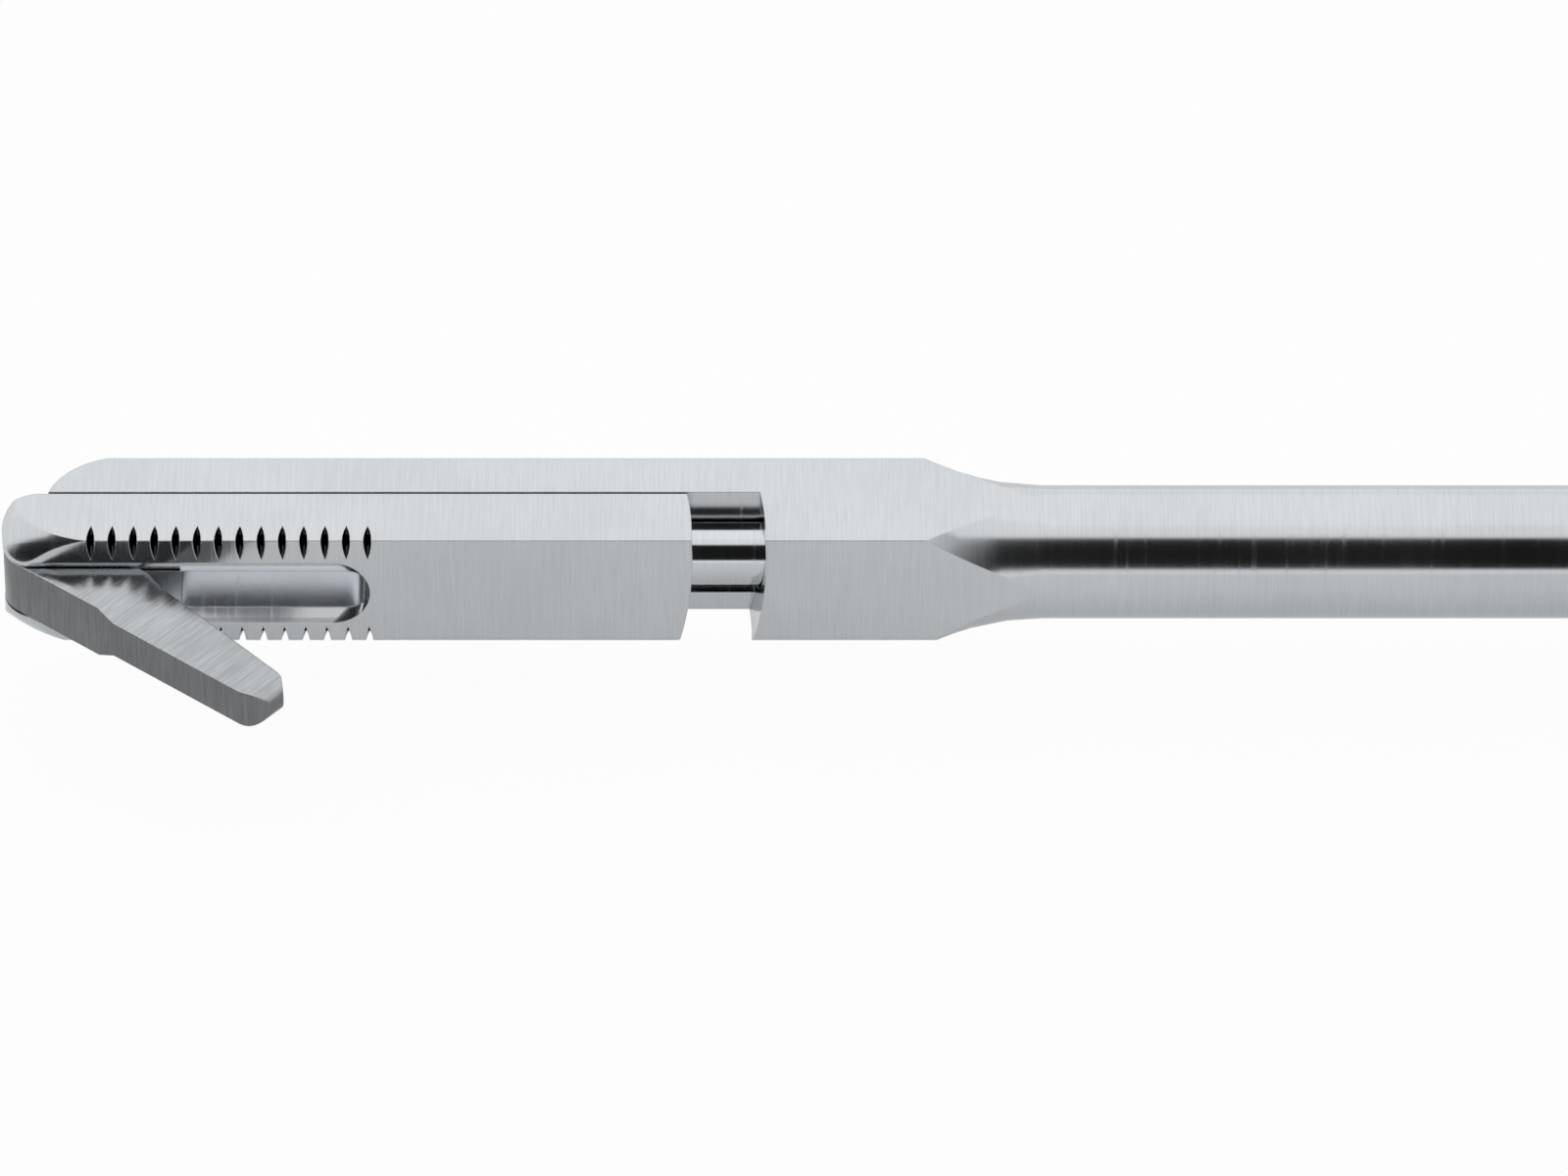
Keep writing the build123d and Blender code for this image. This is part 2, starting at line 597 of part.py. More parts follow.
with BuildPart() as handle_body:
    with BuildSketch(Plane.XY):
        with Locations((handle_face + HEAD_NOSE_RADIUS, 0), (lever_x + HEAD_REACH, 0)):
            Circle(HEAD_NOSE_RADIUS)
        with Locations(pivot):
            Circle(CHEEK_RADIUS)
        with Locations((lever_x - STOP_BOSS_SETBACK, pivot[1] - STOP_BOSS_DROP)):
            Circle(STOP_BOSS_RADIUS)
        make_hull()
    extrude(amount=cheek_half, both=True)
    fillet(handle_body.faces().filter_by(Axis.Z).edges(), EDGE_ROUND)
    add(grip_leg(leg_top, leg_bend, leg_end))
    add(grip_ring(finger_ring, FINGER_RING_BORE))
    with BuildSketch(Plane.XY):
        with BuildLine():
            Polyline(
                (fork_front, clear),
                (fork_front, pivot[1]),
                (fork_front - FORK_LEAN, STOP_Y - FORK_FLAT_BELOW_PIVOT),
                (fork_front - FORK_DEEP_LEAN, pivot[1] - 2 * clear),
                (lever_x + 4 * clear, pivot[1] - 2 * clear),
                (lever_x + 4 * clear, clear),
                close=True,
            )
        make_face()
    extrude(amount=fork_half, both=True, mode=Mode.SUBTRACT)
    with BuildSketch(Plane.YZ.offset(handle_face - clear)):
        Circle(shaft_radius)
    extrude(amount=SHAFT_SOCKET + clear, mode=Mode.SUBTRACT)
    with BuildSketch(Plane.XY.offset(-clear)):
        with Locations(pivot):
            Circle(PIVOT_THREAD_DIAMETER / 2)
    extrude(amount=clear, mode=Mode.SUBTRACT)
    with BuildSketch(Plane.XY):
        with Locations(pivot):
            Circle(PIVOT_SHANK_DIAMETER / 2)
    extrude(amount=clear, mode=Mode.SUBTRACT)
    with BuildSketch(Plane.XY.offset(cheek_half - PIVOT_HEAD_HEIGHT)):
        with Locations(pivot):
            Circle(PIVOT_HEAD_DIAMETER / 2)
    extrude(amount=PIVOT_HEAD_HEIGHT, mode=Mode.SUBTRACT)
    with BuildSketch(Plane.XZ.offset(-clear)):
        with Locations((handle_face + SHAFT_SOCKET / 2, 0)):
            Circle(LOCK_SCREW_DIAMETER / 2)
    extrude(amount=clear, mode=Mode.SUBTRACT)
    with BuildSketch(Plane.YZ.offset(handle_face - clear)):
        with Locations((STOP_Y, 0)):
            Circle(STOP_SCREW_DIAMETER / 2)
    extrude(amount=3 * clear, mode=Mode.SUBTRACT)
    with BuildSketch(Plane.YZ.offset(stop_face - clear)):
        with Locations((STOP_Y, 0)):
            Circle(STOP_SPOT_FACE_RADIUS)
    extrude(amount=clear, mode=Mode.SUBTRACT)
    with BuildSketch(spring_screw_plane.offset(-SPRING_THICKNESS / 2)):
        Rectangle(2 * spring_direction.length, clear)
    extrude(amount=SPRING_SPOT_DEPTH, mode=Mode.SUBTRACT)
    with BuildSketch(spring_screw_plane):
        Circle(SPRING_SCREW_DIAMETER / 2)
    extrude(amount=SPRING_THICKNESS / 2 - SPRING_SCREW_LENGTH, mode=Mode.SUBTRACT)
handle_body.part.label = "handle_body"

# Lever with the thumb ring, drawn at mid stroke on a plane that is turned back to rest
rest_turn = math.radians(lever_half_angle)
lever_plane = Plane(
    origin=(pivot[0], pivot[1], 0),
    x_dir=(math.cos(rest_turn), math.sin(rest_turn), 0),
    z_dir=(0, 0, 1),
)
lever_top_half = ball_radius + BALL_CLEARANCE + LEVER_WALL
lever_top = (pivot[0] + THUMB_LEG_REACH, pivot[1] - THUMB_LEG_DROP)
lever_bend = (lever_x + THUMB_LEG_BEND_REACH, pivot[1] - THUMB_LEG_BEND_DROP)

with BuildPart() as handle_lever:
    with BuildSketch(lever_plane):
        with Locations((0, LEVER_ARM - LEVER_TOP_DROP)):
            Circle(lever_top_half)
        Circle(LEVER_EYE_DIAMETER / 2)
        make_hull()
    extrude(amount=grip_half, both=True)
    add(grip_leg(lever_top, lever_bend, ring_edge(thumb_ring, THUMB_RING_BORE, lever_bend)))
    add(grip_ring(thumb_ring, THUMB_RING_BORE))
    with BuildSketch(lever_plane):
        with Locations((0, LEVER_ARM - ball_radius - BALL_SLOT_DEPTH)):
            Rectangle(2 * (ball_radius + BALL_CLEARANCE), clear, align=(Align.CENTER, Align.MIN))
        Circle(PIVOT_BUSH_DIAMETER / 2)
    extrude(amount=grip_half, both=True, mode=Mode.SUBTRACT)
    with BuildSketch(lever_plane):
        with Locations((-clear, LEVER_ARM - ROD_NUT_WIDTH / math.sqrt(3) - ROD_NUT_ROOM)):
            Rectangle(clear, clear, align=(Align.MIN, Align.MIN))
    extrude(amount=ROD_NUT_WIDTH / 2 + ROD_NUT_SIDE_ROOM, both=True, mode=Mode.SUBTRACT)
handle_lever.part.label = "handle_lever"

with BuildPart() as pivot_bush:
    with BuildSketch(lever_plane):
        Circle(PIVOT_BUSH_DIAMETER / 2)
        Circle(PIVOT_SHANK_DIAMETER / 2 + RUNNING_CLEARANCE, mode=Mode.SUBTRACT)
    extrude(amount=grip_half, both=True)
pivot_bush.part.label = "pivot_bush"

with BuildPart() as pivot_screw:
    with BuildSketch(Plane.XY.offset(cheek_half - PIVOT_HEAD_HEIGHT)):
        with Locations(pivot):
            Circle(PIVOT_HEAD_DIAMETER / 2 - RUNNING_CLEARANCE)
    extrude(amount=PIVOT_HEAD_HEIGHT)
    with BuildSketch(Plane.XY.offset(-fork_half)):
        with Locations(pivot):
            Circle(PIVOT_SHANK_DIAMETER / 2)
    extrude(amount=fork_half + cheek_half - PIVOT_HEAD_HEIGHT)
    with BuildSketch(Plane.XY.offset(-cheek_half)):
        with Locations(pivot):
            Circle(PIVOT_THREAD_DIAMETER / 2)
    extrude(amount=CHEEK_THICKNESS)
    with BuildSketch(Plane.XY.offset(cheek_half - SLOT_DEPTH)):
        with Locations(pivot):
            Rectangle(PIVOT_HEAD_DIAMETER, SLOT_WIDTH, rotation=SLOT_TURN)
    extrude(amount=SLOT_DEPTH, mode=Mode.SUBTRACT)
pivot_screw.part.label = "pivot_screw"

# Fluted collar that locks the shaft in the handle
with BuildPart() as shaft_collar:
    with BuildSketch(Plane.YZ.offset(handle_face)):
        Circle(COLLAR_DIAMETER / 2)
        with PolarLocations(COLLAR_DIAMETER / 2 + COLLAR_FLUTE_OFFSET, COLLAR_FLUTES):
            Circle(COLLAR_FLUTE_RADIUS, mode=Mode.SUBTRACT)
    extrude(amount=-COLLAR_LENGTH)
    with BuildSketch(Plane.XZ):
        with BuildLine():
            Polyline(
                (handle_face, shaft_radius),
                (handle_face, COLLAR_DIAMETER / 2),
                (handle_face - COLLAR_FULL_LENGTH, COLLAR_DIAMETER / 2),
                (handle_face - COLLAR_LENGTH, shaft_radius + COLLAR_RIM),
                (handle_face - COLLAR_LENGTH, shaft_radius),
                close=True,
            )
        make_face()
    revolve(axis=Axis.X, mode=Mode.INTERSECT)
shaft_collar.part.label = "shaft_collar"

with BuildPart() as shaft_lock_screw:
    with BuildSketch(Plane.XZ.offset(-HEAD_NOSE_RADIUS + LOCK_SCREW_RECESS)):
        with Locations((handle_face + SHAFT_SOCKET / 2, 0)):
            Circle(LOCK_SCREW_DIAMETER / 2)
    extrude(amount=HEAD_NOSE_RADIUS - LOCK_SCREW_RECESS - shaft_radius)
    with BuildSketch(Plane.XZ.offset(-HEAD_NOSE_RADIUS + LOCK_SCREW_RECESS)):
        with Locations((handle_face + SHAFT_SOCKET / 2, 0)):
            RegularPolygon(LOCK_SCREW_SOCKET_RADIUS, 6)
    extrude(amount=LOCK_SCREW_SOCKET_DEPTH, mode=Mode.SUBTRACT)
shaft_lock_screw.part.label = "shaft_lock_screw"

with BuildPart() as pivot_washers:
    for side in (-1, 1):
        with BuildSketch(Plane.XY.offset(side * (grip_half + WASHER_THICKNESS / 2))):
            with Locations(pivot):
                Circle(WASHER_DIAMETER / 2)
                Circle(PIVOT_SHANK_DIAMETER / 2 + RUNNING_CLEARANCE, mode=Mode.SUBTRACT)
        extrude(amount=WASHER_THICKNESS / 2, both=True)
pivot_washers.part.label = "pivot_washers"

# Stop screw and its lock nut, through the front of the head
with BuildPart() as stop_screw:
    with BuildSketch(Plane.YZ.offset(stop_tip - STOP_SCREW_LENGTH)):
        with Locations((STOP_Y, 0)):
            Circle(STOP_SCREW_DIAMETER / 2)
    extrude(amount=STOP_SCREW_LENGTH)
    with BuildSketch(Plane.YZ.offset(stop_tip - STOP_SCREW_LENGTH)):
        with Locations((STOP_Y, 0)):
            Rectangle(2 * STOP_SCREW_DIAMETER, STOP_SLOT_WIDTH)
    extrude(amount=STOP_SLOT_WIDTH, mode=Mode.SUBTRACT)
stop_screw.part.label = "stop_screw"

with BuildPart() as stop_nut:
    with BuildSketch(Plane.YZ.offset(stop_face)):
        with Locations((STOP_Y, 0)):
            RegularPolygon(STOP_NUT_WIDTH / 2, 6, major_radius=False)
            Circle(STOP_SCREW_DIAMETER / 2, mode=Mode.SUBTRACT)
    extrude(amount=-STOP_NUT_LENGTH)
stop_nut.part.label = "stop_nut"

# Bow spring between the legs, screwed to the front leg
with BuildPart() as bow_spring:
    with BuildSketch(Plane.XY):
        with BuildLine():
            Line(spring_foot, spring_bend)
            ThreePointArc(spring_bend, spring_apex, spring_return)
            Line(spring_return, spring_tip)
        trace(line_width=SPRING_THICKNESS)
    extrude(amount=SPRING_WIDTH / 2, both=True)
    with BuildSketch(spring_screw_plane):
        Circle(SPRING_SCREW_DIAMETER / 2)
    extrude(amount=2 * SPRING_THICKNESS, both=True, mode=Mode.SUBTRACT)
bow_spring.part.label = "bow_spring"

with BuildPart() as spring_screw:
    with BuildSketch(spring_screw_plane.offset(SPRING_THICKNESS / 2)):
        Circle(SPRING_SCREW_HEAD / 2)
    extrude(amount=SPRING_SCREW_HEAD_HEIGHT)
    with BuildSketch(spring_screw_plane.offset(SPRING_THICKNESS / 2)):
        Circle(SPRING_SCREW_DIAMETER / 2)
    extrude(amount=-SPRING_SCREW_LENGTH)
    with BuildSketch(spring_screw_plane.offset(SPRING_THICKNESS / 2 + SPRING_SCREW_HEAD_HEIGHT)):
        Rectangle(SPRING_SCREW_HEAD, SPRING_SCREW_SLOT_WIDTH)
    extrude(amount=-SPRING_SCREW_SLOT_DEPTH, mode=Mode.SUBTRACT)
spring_screw.part.label = "spring_screw"

sub_parts = (
    outer_shaft,
    jaw_slider,
    cutting_blade,
    blade_pivot_pin,
    cam_pin,
    pull_rod,
    rod_ball,
    rod_lock_nut,
    handle_body,
    handle_lever,
    pivot_bush,
    pivot_screw,
    pivot_washers,
    shaft_collar,
    shaft_lock_screw,
    stop_screw,
    stop_nut,
    bow_spring,
    spring_screw,
)
for piece in [sub.part for sub in sub_parts] + [front_bush, rear_bush]:
    export_step(piece, f"parts/{piece.label}.step")
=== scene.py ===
import json
import math

import bpy
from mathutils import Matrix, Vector


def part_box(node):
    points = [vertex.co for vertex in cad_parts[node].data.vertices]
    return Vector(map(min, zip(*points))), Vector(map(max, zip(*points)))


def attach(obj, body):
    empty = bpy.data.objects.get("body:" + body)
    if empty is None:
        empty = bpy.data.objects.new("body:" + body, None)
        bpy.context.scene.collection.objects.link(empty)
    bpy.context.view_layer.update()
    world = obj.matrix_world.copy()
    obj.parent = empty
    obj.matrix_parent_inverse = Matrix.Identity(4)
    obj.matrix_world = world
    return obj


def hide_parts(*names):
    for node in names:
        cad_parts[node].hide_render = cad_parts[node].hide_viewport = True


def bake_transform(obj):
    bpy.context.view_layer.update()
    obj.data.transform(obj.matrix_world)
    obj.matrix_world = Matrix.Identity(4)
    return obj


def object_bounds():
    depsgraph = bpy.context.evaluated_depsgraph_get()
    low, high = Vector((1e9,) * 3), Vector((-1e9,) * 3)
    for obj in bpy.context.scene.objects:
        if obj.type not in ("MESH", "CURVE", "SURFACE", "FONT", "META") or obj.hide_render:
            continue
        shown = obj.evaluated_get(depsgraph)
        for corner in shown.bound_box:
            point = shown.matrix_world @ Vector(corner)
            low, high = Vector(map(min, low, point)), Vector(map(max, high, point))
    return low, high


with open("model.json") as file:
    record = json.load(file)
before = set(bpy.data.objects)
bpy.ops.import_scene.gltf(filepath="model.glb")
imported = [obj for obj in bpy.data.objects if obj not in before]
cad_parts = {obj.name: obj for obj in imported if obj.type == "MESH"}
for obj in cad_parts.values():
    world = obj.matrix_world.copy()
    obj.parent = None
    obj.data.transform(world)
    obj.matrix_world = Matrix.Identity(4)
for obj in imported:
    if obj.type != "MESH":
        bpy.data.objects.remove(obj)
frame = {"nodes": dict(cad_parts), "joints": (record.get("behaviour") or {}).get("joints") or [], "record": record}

MM = 0.001
cad_low, cad_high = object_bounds()
nodes = frame["nodes"]
bpy.ops.object.select_all(action="DESELECT")

# The photograph's view: square to the shaft, from 38.5 degrees above, 47 mm wide, on a 36 mm sensor
VIEW_ELEVATION = math.radians(38.5)
VIEW_TARGET = Vector((-52.77, -0.68, -0.85)) * MM
VIEW_DISTANCE = 400 * MM
VIEW_WIDTH = 47.06 * MM
SENSOR_WIDTH = 36
CLIP_START = 10 * MM

# Sizes of the small pieces that are modelled here
THREAD_PITCH = 0.45 * MM
THREAD_DEPTH = 0.16 * MM
SCREW_SLOT_WIDTH = 0.6 * MM
SCREW_SLOT_DEPTH = 0.7 * MM
NUT_CHAMFER = 0.35 * MM
NUT_EDGE_ROUND = 0.032 * MM
EDGE_ROUND = 0.08 * MM
BLADE_ROUND = 0.20 * MM
LEAF_STATION = 0.5 * MM
LATHE_STEPS = 48
MERGE_WITHIN = 0.001 * MM
SAME_FACE = math.radians(0.5)

# Where the crest of a thread starts and ends, and where its tip tapers, in pitches
CREST_START = 0.42
CREST_END = 0.58
TIP_START = 0.4
TIP_ROUND = 0.1
TIP_WIDTH = 0.6

# How far the turned corners of a nut reach in from its faces, and its countersink, in chamfers
CORNER_REACH = 0.55
RIM_INSET = 0.2
COUNTERSINK = 0.5

# Painted shade in notches and corners: how near a wall darkens them, how hidden a dark and a clear spot are, and
# the tone of the painted shade
PAINTED_SHADE_REACH = 0.45 * MM
PAINTED_SHADE_DARK = 0.30
PAINTED_SHADE_CLEAR = 0.62
PAINTED_SHADE_TONE = 0.22

# Painted light inside the jaw's window: a paler colour in a box, and the box's soft edge
PAINTED_LIGHT_BOX = ((-75 * MM, -1.95 * MM, -1.0 * MM), (-64.9 * MM, 1.6 * MM, 1.0 * MM))
PAINTED_LIGHT_EDGE = 0.04 * MM
PAINTED_WINDOW_LIGHT = (0.93, 0.95, 0.97)

# How far up a face of the blade looks, from one that counts as upright and gets painted shade to one that doesn't
SHADED_UPRIGHT = (0.15, 0.75)

# The ground and worn surface of the steel. A pair is where a noise of 0 to 1 starts and ends to count.
SMUDGE_SCALE = 260
DEEP_LINE_SCALE = 0.35
DEEP_LINES = (0.56, 0.72)
WORN_EDGE = (0.01, 0.12)
PALE_PATCH = (0.32, 0.68)
BUMP_DEPTH = 0.0012 * MM
EDGE_REACH = 0.06 * MM

# What smudges, fine lines, deep lines and worn edges add to the roughness
SMUDGE_SHINE = 0.10
LINE_SHINE = 0.08
DEEP_SHINE = 0.06
WORN_SHINE = -0.05


class Value:
    """A value that varies over a surface. Arithmetic on it adds Math nodes."""

    def __init__(self, maker, socket):
        self.maker = maker
        self.socket = socket

    def __add__(self, other):
        return self.maker.maths("ADD", self, other)

    def __radd__(self, other):
        return self.maker.maths("ADD", other, self)

    def __sub__(self, other):
        return self.maker.maths("SUBTRACT", self, other)

    def __rsub__(self, other):
        return self.maker.maths("SUBTRACT", other, self)

    def __mul__(self, other):
        return self.maker.maths("MULTIPLY", self, other)

    def __rmul__(self, other):
        return self.maker.maths("MULTIPLY", other, self)


class Maker:
    """Adds nodes to one node tree, which starts empty."""

    def __init__(self, owner):
        owner.use_nodes = True
        self.tree = owner.node_tree
        self.tree.nodes.clear()

    def node(self, kind, settings=None, inputs=None, output=0):
        """Adds a node, sets it up and gives back one of its outputs."""
        made = self.tree.nodes.new(kind)
        for name, value in (settings or {}).items():
            setattr(made, name, value)
        for name, value in (inputs or {}).items():
            if isinstance(value, Value):
                self.tree.links.new(value.socket, made.inputs[name])
            else:
                made.inputs[name].default_value = value
        return Value(self, made.outputs[output]) if made.outputs else None

    def maths(self, operation, *values):
        """The result of a Math node."""
        return self.node("ShaderNodeMath", {"operation": operation}, dict(enumerate(values)))

    def axes(self, vector):
        """The three parts of a vector."""
        parts = self.node("ShaderNodeSeparateXYZ", None, {"Vector": vector})
        return [Value(self, parts.socket.node.outputs[axis]) for axis in "XYZ"]

    def between(self, value, low, high):
        """0 below low, 1 above high, and a smooth rise from one to the other."""
        settings = {"interpolation_type": "SMOOTHSTEP"}
        return self.node("ShaderNodeMapRange", settings, {"Value": value, "From Min": low, "From Max": high})

    def inside(self, place, low, high, edge):
        """1 inside a box, 0 outside it, and a soft edge between them."""
        share = 1
        for along, start, end in zip(self.axes(place), low, high):
            share = share * self.between(along, start - edge, start + edge)
            share = share * (1 - self.between(along, end - edge, end + edge))
        return share

    def blend_colours(self, share, first, second):
        """One colour into another. The Mix node's colour sockets are numbers 6 and 7."""
        first, second = (end if isinstance(end, Value) else (*end, 1) for end in (first, second))
        return self.node("ShaderNodeMix", {"data_type": "RGBA"}, {0: share, 6: first, 7: second}, output=2)


def tone(colour, share):
    """A colour made lighter or darker."""
    return tuple(min(1, channel * share) for channel in colour)


# Steel finishes


def steel(name, colour, line, roughness, streaks, turn=0.0, cut=1.0, painted_side_shade=1.0, painted_window_light=False):
    """Steel with fine lines left by grinding. line is the size of a line along the three axes, in metres.

    streaks is how much the tone varies, turn turns the lines about Z and cut is how deep they are.
    The tone of the upright faces is painted shade, which darkens them towards black, and the window switch
    makes the steel paler inside the window of the jaw, which is painted light.
    """
    material = bpy.data.materials.new(name)
    maker = Maker(material)
    place = maker.node("ShaderNodeTexCoord", output="Object")
    ground = {"Vector": place, "Rotation": (0, 0, turn), "Scale": line}
    along = maker.node("ShaderNodeMapping", {"vector_type": "TEXTURE"}, ground)
    fine = {"Vector": along, "Scale": 1, "Detail": 4, "Roughness": 0.62}
    lines = maker.node("ShaderNodeTexNoise", None, fine)
    coarse = {"Vector": along, "Scale": DEEP_LINE_SCALE, "Detail": 2, "Roughness": 0.5}
    deep_lines = maker.between(maker.node("ShaderNodeTexNoise", None, coarse), *DEEP_LINES)
    patches = {"Vector": place, "Scale": SMUDGE_SCALE, "Detail": 3, "Roughness": 0.55}
    smudge = maker.node("ShaderNodeTexNoise", None, patches)
    rounded = maker.node("ShaderNodeBevel", {"samples": 4}, {"Radius": EDGE_REACH})
    flat = maker.node("ShaderNodeNewGeometry", output="Normal")
    product = {"operation": "DOT_PRODUCT"}
    same = maker.node("ShaderNodeVectorMath", product, {0: rounded, 1: flat}, output="Value")
    worn = maker.between(1 - same, *WORN_EDGE)
    # Painted shade: notches and corners that little of the surroundings reaches are darkened in the colour
    around = {"samples": 8, "only_local": True}
    open_sky = maker.node("ShaderNodeAmbientOcclusion", around, {"Distance": PAINTED_SHADE_REACH}, output="AO")
    painted_crevice_shade = 1 - maker.between(open_sky, PAINTED_SHADE_DARK, PAINTED_SHADE_CLEAR)
    pale = maker.between(0.6 * lines + 0.4 * smudge, *PALE_PATCH)
    body = maker.blend_colours(pale, tone(colour, 1 - streaks), tone(colour, 1 + streaks))
    # Painted shade: the upright faces are darkened towards black in the colour
    if painted_side_shade < 1:
        shaded_upright = 1 - maker.between(maker.axes(rounded)[2], *SHADED_UPRIGHT)
        body = maker.blend_colours((1 - painted_side_shade) * shaded_upright, body, (0, 0, 0))
    # Painted light: the steel inside the jaw's window is made paler in the colour
    if painted_window_light:
        body = maker.blend_colours(maker.inside(place, *PAINTED_LIGHT_BOX, PAINTED_LIGHT_EDGE), body, PAINTED_WINDOW_LIGHT)
    # The painted shade of notches and corners goes into the colour here
    body = maker.blend_colours(painted_crevice_shade, body, tone(colour, PAINTED_SHADE_TONE))
    height = lines - 0.5 * deep_lines
    bump = {"Height": height, "Normal": rounded, "Strength": 1.0, "Distance": BUMP_DEPTH * cut}
    normal = maker.node("ShaderNodeBump", None, bump)
    ground_shine = SMUDGE_SHINE * (smudge - 0.5) + LINE_SHINE * (lines - 0.5)
    shine = roughness + ground_shine + DEEP_SHINE * deep_lines + WORN_SHINE * worn
    surface = {"Base Color": body, "Metallic": 1.0, "Roughness": shine, "Normal": normal}
    shader = maker.node("ShaderNodeBsdfPrincipled", None, surface)
    maker.node("ShaderNodeOutputMaterial", None, {"Surface": shader})
    return material


across_shaft = (0.06 * MM, 1.6 * MM, 1.6 * MM)
across_blade = (0.07 * MM, 1.4 * MM, 1.4 * MM)
grain = (0.10 * MM, 0.16 * MM, 0.16 * MM)
turned = (0.05 * MM, 1.0 * MM, 1.0 * MM)

STEEL_COLOUR = (0.60, 0.625, 0.645)
POLISHED_COLOUR = tone(STEEL_COLOUR, 1.06)
SATIN_COLOUR = tone(STEEL_COLOUR, 0.98)
BLADE_COLOUR = (0.44, 0.46, 0.475)
SPRING_COLOUR = (0.50, 0.52, 0.54)

# The blade is drawn open, turned from the jaw by the whole range of its joint
blade_range = next(joint["range_deg"] for joint in frame["joints"] if joint["name"] == "blade_pivot")
blade_turn = -math.radians(blade_range[1])

finish_of = {
    "brushed": steel(
        # the brushed steel gets the painted light inside the jaw's window
        "brushed_steel", STEEL_COLOUR, across_shaft, roughness=0.16, streaks=0.055, cut=0.6, painted_window_light=True
    ),
    "blade": steel(
        "blade_steel",
        BLADE_COLOUR,
        across_blade,
        roughness=0.24,
        streaks=0.18,
        turn=blade_turn,
        cut=1.2,
        # the blade's upright faces get painted shade
        painted_side_shade=0.45,
    ),
    "polished": steel("polished_steel", POLISHED_COLOUR, turned, roughness=0.11, streaks=0.05, cut=0.4),
    "satin": steel("satin_steel", SATIN_COLOUR, grain, roughness=0.31, streaks=0.06, cut=1.2),
    "spring": steel("spring_steel", SPRING_COLOUR, across_shaft, roughness=0.24, streaks=0.08),
}
for subpart in frame["record"]["subparts"]:
    mesh = nodes[subpart["node"]].data
    mesh.materials.clear()
    mesh.materials.append(finish_of[subpart["material_slot"]])


# Ways of making a piece


def take_up(piece):
    """Makes a piece the only selected and active object."""
    bpy.ops.object.select_all(action="DESELECT")
    piece.select_set(True)
    bpy.context.view_layer.objects.active = piece
    return piece


def apply_all(piece):
    """Applies every modifier of a piece."""
    take_up(piece)
    for modifier in list(piece.modifiers):
        bpy.ops.object.modifier_apply(modifier=modifier.name)
    return piece


def turned_piece(name, profile, centre):
    """Turns a profile, given as distances along X and from the axis, round a line along X."""
    mesh = bpy.data.meshes.new(name)
    points = [(centre.x + along, centre.y, centre.z + out) for along, out in profile]
    mesh.from_pydata(points, [(i, i + 1) for i in range(len(points) - 1)], [])
    piece = bpy.data.objects.new(name, mesh)
    bpy.context.scene.collection.objects.link(piece)
    take_up(piece)
    bpy.ops.object.mode_set(mode="EDIT")
    bpy.ops.mesh.select_all(action="SELECT")
    bpy.ops.mesh.spin(steps=LATHE_STEPS, angle=2 * math.pi, center=centre, axis=(1, 0, 0))
    bpy.ops.mesh.select_all(action="SELECT")
    bpy.ops.mesh.remove_doubles(threshold=MERGE_WITHIN)
    bpy.ops.mesh.normals_make_consistent(inside=False)
    bpy.ops.object.mode_set(mode="OBJECT")
    return piece


def cut_with(piece, cutter, operation="DIFFERENCE"):
    """Cuts a piece with another, which is used up."""
    boolean = piece.modifiers.new("cut", "BOOLEAN")
    boolean.object = cutter
    boolean.operation = operation
    boolean.solver = "EXACT"
    apply_all(piece)
    bpy.data.objects.remove(cutter)
    return piece


def block(size, centre):
    """A block used as a cutter."""
    bpy.ops.object.select_all(action="DESELECT")
    bpy.ops.mesh.primitive_cube_add(size=1, location=centre, scale=size)
    return settle(bpy.context.active_object)


def settle(piece):
    """Moves a piece's place, turn and scale into its mesh."""
    take_up(piece)
    bpy.ops.object.transform_apply(location=True, rotation=True, scale=True)
    return piece


def soften(piece, width=EDGE_ROUND, angle=35, shading=35, segments=2):
    """Rounds the edges sharper than angle, and shades the rest smooth."""
    take_up(piece)
    bevel = piece.modifiers.new("round", "BEVEL")
    bevel.width = width
    bevel.segments = segments
    bevel.limit_method = "ANGLE"
    bevel.angle_limit = math.radians(angle)
    apply_all(piece)
    bpy.ops.object.shade_smooth_by_angle(angle=math.radians(shading))
    return piece


def merged_copy(name, node):
    """A copy of a CAD piece with its triangles joined, and those of one flat face made one."""
    copy = bpy.data.objects.new(name, nodes[node].data.copy())
    bpy.context.scene.collection.objects.link(copy)
    take_up(copy)
    bpy.ops.object.mode_set(mode="EDIT")
    bpy.ops.mesh.select_all(action="SELECT")
    bpy.ops.mesh.remove_doubles(threshold=MERGE_WITHIN)
    bpy.ops.mesh.dissolve_limited(angle_limit=SAME_FACE)
    bpy.ops.object.mode_set(mode="OBJECT")
    return copy


def finish_piece(piece, body, slot, stands_for):
    """Gives a piece its steel and the body that it moves with, and hides the CAD piece that it stands for."""
    piece.data.materials.clear()
    piece.data.materials.append(finish_of[slot])
    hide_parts(stands_for)
    if body:
        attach(piece, body)
    return piece


# Stop screw and hexagon nuts


